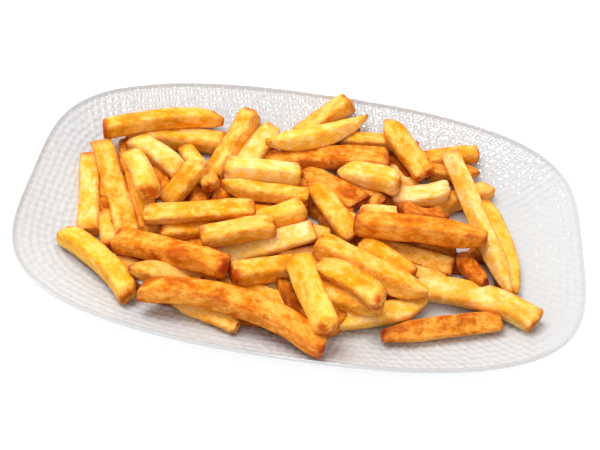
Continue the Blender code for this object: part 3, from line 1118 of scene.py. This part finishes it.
class FRIES_OT_fries(bpy.types.Operator):
    """Lays the fries on the platter one by one, and makes one piece of each kind"""

    bl_idname = "fries.make_fries"
    bl_label = "Make Fries"

    def execute(self, context):
        settings = context.scene.fries_fries
        tree = fry_tree()
        rng = np.random.default_rng(settings.seed)
        laid, ground = laid_fries()
        laid += buried_fries(ground, rng)
        chance = np.vstack([rng.uniform(-1, 1, (5, len(laid))), rng.uniform(0, 1, len(laid))])
        for kind, colours in FRY_COLOURS.items():
            chosen = [index for index, fry in enumerate(laid) if fry[0] == kind]
            fries = fry_points("fries_" + kind, [laid[i][1:] for i in chosen], chance[:, chosen])
            stations, sides = BURIED_MESH if kind == "under" else FRY_MESH
            values = {"Stations": stations, "Sides": sides}
            values["Material"] = fried_potato(kind, *colours)
            # the tree's other inputs have the names of the settings
            for setting in settings.bl_rna.properties:
                values[setting.name] = getattr(settings, setting.identifier)
            run_tree(fries, tree, values)
            for attribute in list(fries.data.attributes):
                if attribute.domain == "POINT" and attribute.data_type.startswith("FLOAT"):
                    if attribute.name not in KEPT_ATTRIBUTES | {"position"}:
                        fries.data.attributes.remove(attribute)
            on_root(fries, "fries_heap")
        core = heap_core(ground)
        # the mound wears the under colours, darkened as painted shade
        core.data.materials.append(bpy.data.materials["fried_potato_under"])
        on_root(core, "fries_heap")
        return {"FINISHED"}


# ---- the stage ----


def white_table(settings):
    """Matt white board under the platter, lit so evenly that it shows almost no shade."""
    material, shader, node = new_material("white_board")
    place = node("ShaderNodeTexCoord").outputs["Object"]
    fibres = node(NOISE, place, 1 / (2 * MM), 2.0)
    bump = node("ShaderNodeBump", sockets={"Height": fibres, "Distance": 0.02 * MM, "Strength": 0.3})
    white, floor = (1.0, 1.0, 1.0, 1.0), linear(settings.floor_colour)
    connect(shader, (), {"Base Color": floor, "Roughness": 0.9, "Normal": bump})
    connect(shader, (), {"Emission Color": white, "Emission Strength": 0.32})
    return material


def soft_light(name, place, towards, size, power):
    """A square soft box at a place, turned towards a point."""
    data = bpy.data.lights.new(name, "AREA")
    data.size = size
    data.energy = power
    light = bpy.data.objects.new(name, data)
    bpy.context.scene.collection.objects.link(light)
    light.location = place
    light.rotation_euler = (Vector(towards) - Vector(place)).to_track_quat("-Z", "Y").to_euler()
    return light


def point_camera(scene, settings):
    data = bpy.data.cameras.new("camera")
    data.lens = settings.focal_length
    data.clip_start = 0.01
    camera = bpy.data.objects.new("camera", data)
    scene.collection.objects.link(camera)
    round_platter = Matrix.Rotation(settings.turn, 4, "Z")
    tilt = Matrix.Rotation(math.pi / 2 - settings.height_angle, 4, "X")
    roll = Matrix.Rotation(settings.roll, 4, "Z")
    back = tilt @ Vector((0.0, 0.0, settings.distance))
    place = Matrix.Translation(Vector(settings.target) + back)
    camera.matrix_world = round_platter @ place @ tilt @ roll
    scene.camera = camera


class FRIES_OT_stage(bpy.types.Operator):
    """Makes the floor, the soft lights and the camera"""

    bl_idname = "fries.set_stage"
    bl_label = "Set Stage"

    def execute(self, context):
        scene = context.scene
        settings = scene.fries_stage
        half = 3.0
        corners = [(-half, -half, 0), (half, -half, 0), (half, half, 0), (-half, half, 0)]
        floor = mesh_object("floor", corners, [(0, 1, 2, 3)])
        floor.location.z = -0.3 * MM
        floor.data.materials.append(white_table(settings))

        heap = (0.0, 0.0, 0.02)
        overhead = soft_light("overhead_light", (-0.35, 0.30, 0.95), heap, 0.6, 10.4)
        # a scrim hides the large soft box from the glaze, which mirrors only the small ones
        overhead.visible_glossy = False
        front = soft_light("front_light", (0.05, -0.42, 1.0), heap, 0.22, 4.5)
        left = soft_light("left_light", (-0.66, 0.08, 0.95), heap, 0.15, 1.6)
        # the small ones are faint accents, seen as glints on the glaze and the oil
        front.visible_diffuse = False
        left.visible_diffuse = False

        world = bpy.data.worlds.new("white_studio")
        world.use_nodes = True
        sky = world.node_tree.nodes["Background"]
        sky.inputs["Color"].default_value = (1.0, 1.0, 1.0, 1.0)
        sky.inputs["Strength"].default_value = 0.84
        scene.world = world
        scene.view_settings.view_transform = "Standard"
        point_camera(scene, settings)
        return {"FINISHED"}


# ---- the add-on ----

OPERATORS = (FRIES_OT_platter, FRIES_OT_fries, FRIES_OT_stage)


class FRIES_PT_panel(bpy.types.Panel):
    """Lists the pieces of the portion"""

    bl_idname = "FRIES_PT_panel"
    bl_label = "French Fries Portion"
    bl_space_type = "VIEW_3D"
    bl_region_type = "UI"
    bl_category = "Fries"

    def draw(self, context):
        for operator in OPERATORS:
            self.layout.operator(operator.bl_idname)


SETTINGS = (
    ("fries_platter", PlatterSettings), ("fries_fries", FrySettings), ("fries_stage", StageSettings)
)


def register():
    for name, group in SETTINGS:
        bpy.utils.register_class(group)
        setattr(bpy.types.Scene, name, PointerProperty(type=group))
    for found in (*OPERATORS, FRIES_PT_panel):
        bpy.utils.register_class(found)


def unregister():
    for found in reversed((*OPERATORS, FRIES_PT_panel)):
        bpy.utils.unregister_class(found)
    for name, group in reversed(SETTINGS):
        delattr(bpy.types.Scene, name)
        bpy.utils.unregister_class(group)


def main():
    register()
    for operator in OPERATORS:
        family, name = operator.bl_idname.split(".")
        getattr(getattr(bpy.ops, family), name)()


if __name__ == "__main__":
    main()
